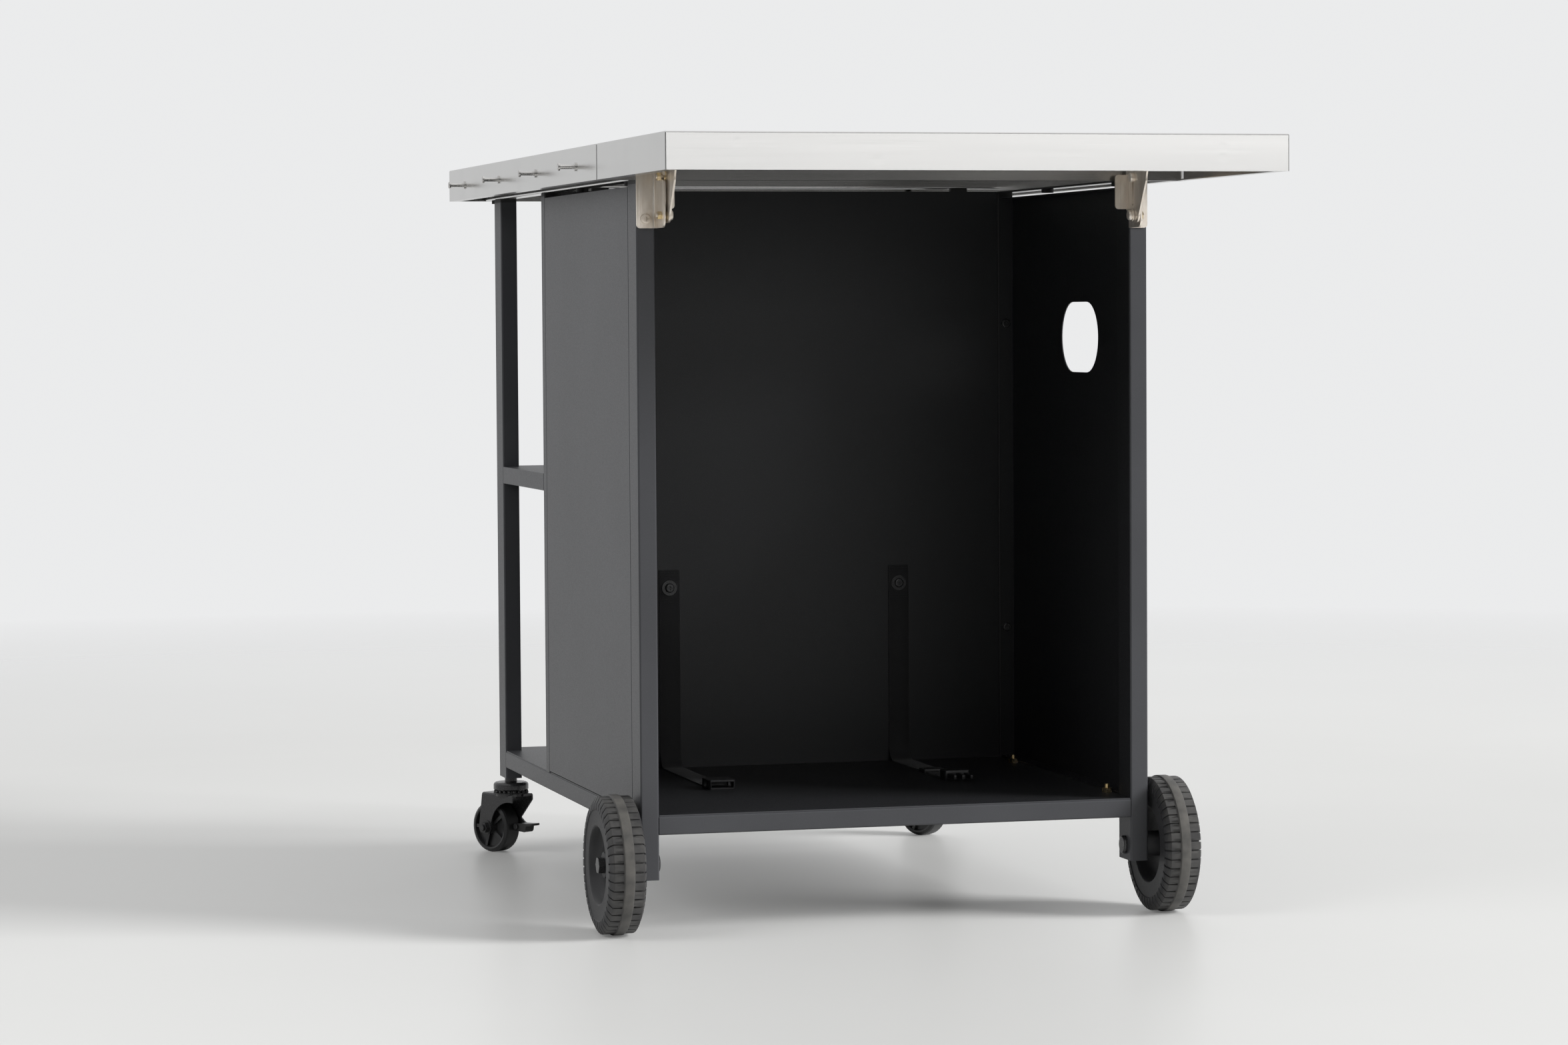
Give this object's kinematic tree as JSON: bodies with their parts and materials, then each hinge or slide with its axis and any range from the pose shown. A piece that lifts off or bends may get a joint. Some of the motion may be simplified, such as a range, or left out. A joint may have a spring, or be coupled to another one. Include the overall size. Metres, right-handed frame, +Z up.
{
  "type": "grill table",
  "caption": "Rolling grill table: dark tube cart with a gas-bottle bay and open shelves, stainless top with a drop leaf, lugged wheels and braked casters.",
  "frame": {"origin": "on the floor under the middle of the overall box", "axes": "+Z up, -Y towards the drop leaf and the big wheels, +X to the side with the hose hole"},
  "size_m": [0.677, 1.153, 0.84],
  "materials": {
    "powder_coat": "satin",
    "top_steel": "brushed",
    "peg_steel": "polished",
    "bracket_steel": "satin",
    "yellow_zinc": "plated",
    "black_steel": "semi-gloss",
    "wheel_plastic": "matte",
    "roller_plastic": "satin",
    "pedal_plastic": "satin",
    "pad_rubber": "matte",
    "webbing": "woven",
    "buckle_plastic": "satin"
  },
  "bodies": {
    "cart": {"axle_bolts": "black_steel", "base_rail_front": "powder_coat", "base_rail_left": "powder_coat", "base_rail_rear": "powder_coat", "base_rail_right": "powder_coat", "bottom_shelf": "powder_coat", "bracket_screws": "bracket_steel", "buckle_clip": "buckle_plastic", "buckle_socket": "buckle_plastic", "caster_sockets": "pad_rubber", "caster_stem_left": "black_steel", "caster_stem_right": "black_steel", "cross_stiffener": "top_steel", "front_leg_left": "powder_coat", "front_leg_right": "powder_coat", "leaf_bracket_left": "bracket_steel", "leaf_bracket_right": "bracket_steel", "leg_pads": "pad_rubber", "leg_plugs": "pad_rubber", "main_top": "top_steel", "mid_post_left": "powder_coat", "mid_post_right": "powder_coat", "mid_shelf": "powder_coat", "panel_flanges": "powder_coat", "panel_screws": "black_steel", "partition_panel": "powder_coat", "pivot_bolts": "bracket_steel", "pivot_nuts": "yellow_zinc", "rear_leg_left": "powder_coat", "rear_leg_right": "powder_coat", "shelf_bolts": "yellow_zinc", "shelf_crossbars": "powder_coat", "side_panel_left": "powder_coat", "side_panel_right": "powder_coat", "stiffener_bumpers": "pad_rubber", "strap_screws": "black_steel", "strap_slider": "buckle_plastic", "tank_strap_left": "webbing", "tank_strap_right": "webbing", "tool_pegs": "peg_steel", "top_stiffener_left": "top_steel", "top_stiffener_right": "top_steel"},
    "drop_leaf": {"leaf_top": "top_steel", "leaf_arm_left": "bracket_steel", "leaf_arm_right": "bracket_steel", "lock_bolts": "bracket_steel", "lock_nuts": "yellow_zinc"},
    "wheel_left": {"front_wheel_left": "wheel_plastic"},
    "wheel_right": {"front_wheel_right": "wheel_plastic"},
    "swivel_left": {"caster_fork_left": "black_steel", "caster_axle_left": "black_steel", "pedal_pin_left": "black_steel"},
    "roller_left": {"caster_wheel_left": "roller_plastic"},
    "pedal_left": {"brake_pedal_left": "pedal_plastic"},
    "swivel_right": {"caster_fork_right": "black_steel", "caster_axle_right": "black_steel", "pedal_pin_right": "black_steel"},
    "roller_right": {"caster_wheel_right": "roller_plastic"},
    "pedal_right": {"brake_pedal_right": "pedal_plastic"}
  },
  "joints": [
    {"name": "leaf_fold", "type": "hinge", "parent": "cart", "child": "drop_leaf", "pos_m": [0.009, -0.2945, 0.764], "axis": [1, 0, 0], "range_deg": [0, 90]},
    {"name": "wheel_spin_left", "type": "hinge", "parent": "cart", "child": "wheel_left", "pos_m": [-0.3005, -0.2445, 0.075], "axis": [1, 0, 0], "continuous": true},
    {"name": "wheel_spin_right", "type": "hinge", "parent": "cart", "child": "wheel_right", "pos_m": [0.3185, -0.2445, 0.075], "axis": [1, 0, 0], "continuous": true},
    {"name": "caster_swivel_left", "type": "hinge", "parent": "cart", "child": "swivel_left", "pos_m": [-0.266, 0.4855, 0.0725], "axis": [0, 0, 1], "continuous": true},
    {"name": "caster_roll_left", "type": "hinge", "parent": "swivel_left", "child": "roller_left", "pos_m": [-0.28031, 0.5084, 0.031], "axis": [-0.848, -0.5299, 0], "continuous": true},
    {"name": "brake_pedal_left", "type": "hinge", "parent": "swivel_left", "child": "pedal_left", "pos_m": [-0.26123, 0.47787, 0.033], "axis": [0.848, 0.5299, 0], "range_deg": [0, 14]},
    {"name": "caster_swivel_right", "type": "hinge", "parent": "cart", "child": "swivel_right", "pos_m": [0.284, 0.4855, 0.0725], "axis": [0, 0, 1], "continuous": true},
    {"name": "caster_roll_right", "type": "hinge", "parent": "swivel_right", "child": "roller_right", "pos_m": [0.26969, 0.5084, 0.031], "axis": [-0.848, -0.5299, 0], "continuous": true},
    {"name": "brake_pedal_right", "type": "hinge", "parent": "swivel_right", "child": "pedal_right", "pos_m": [0.28877, 0.47787, 0.033], "axis": [0.848, 0.5299, 0], "range_deg": [0, 14]}
  ]
}
